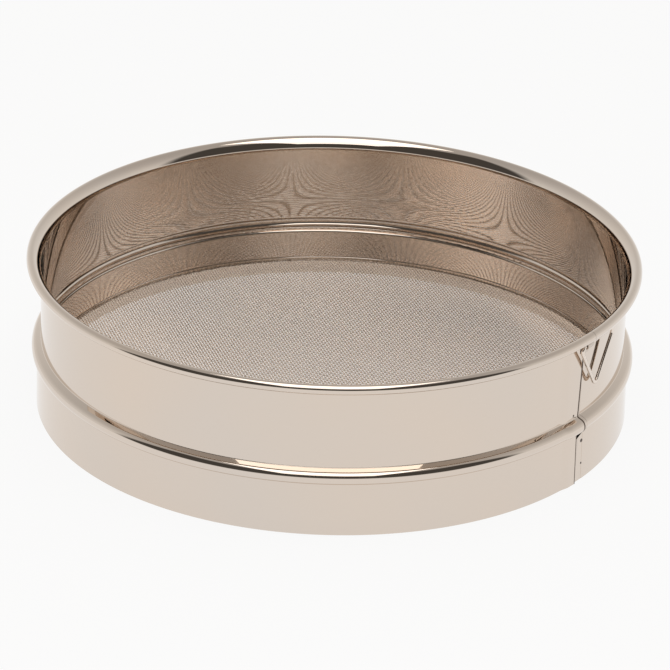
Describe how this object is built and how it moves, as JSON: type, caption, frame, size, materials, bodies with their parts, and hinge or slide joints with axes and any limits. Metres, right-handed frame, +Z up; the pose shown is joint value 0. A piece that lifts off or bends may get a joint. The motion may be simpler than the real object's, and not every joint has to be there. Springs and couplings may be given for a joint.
{
  "type": "soil sieve",
  "caption": "Round polished steel sieve with a wired rim, a pressed bead, a clamped wire mesh floor and a hinged wire loop to hang it by.",
  "frame": {"origin": "centre of the hoop's lower edge, on the surface that the sieve stands on", "axes": "+Z up along the hoop's axis; -Y is the side seen in front, and the lap seam is 35 degrees from +X towards -Y"},
  "size_m": [0.26, 0.26, 0.0674],
  "materials": {
    "polished_sheet": "mirror-polished stainless sheet",
    "drawn_wire": "bright drawn stainless wire",
    "woven_mesh": "plain-woven stainless wire cloth",
    "clip_strip": "satin stainless strip"
  },
  "bodies": {
    "sieve": {"hoop": "polished_sheet", "rim_wire": "drawn_wire", "sieve_mesh": "woven_mesh", "clamp_ring": "polished_sheet", "ring_clip": "clip_strip"},
    "loop": {"hanging_ring": "drawn_wire"}
  },
  "joints": [
    {"name": "loop_swing", "type": "hinge", "parent": "sieve", "child": "loop", "pos_m": [0.10782, -0.06587, 0.0615], "axis": [-0.5214, -0.8533, 0], "range_deg": [0, 110]}
  ]
}
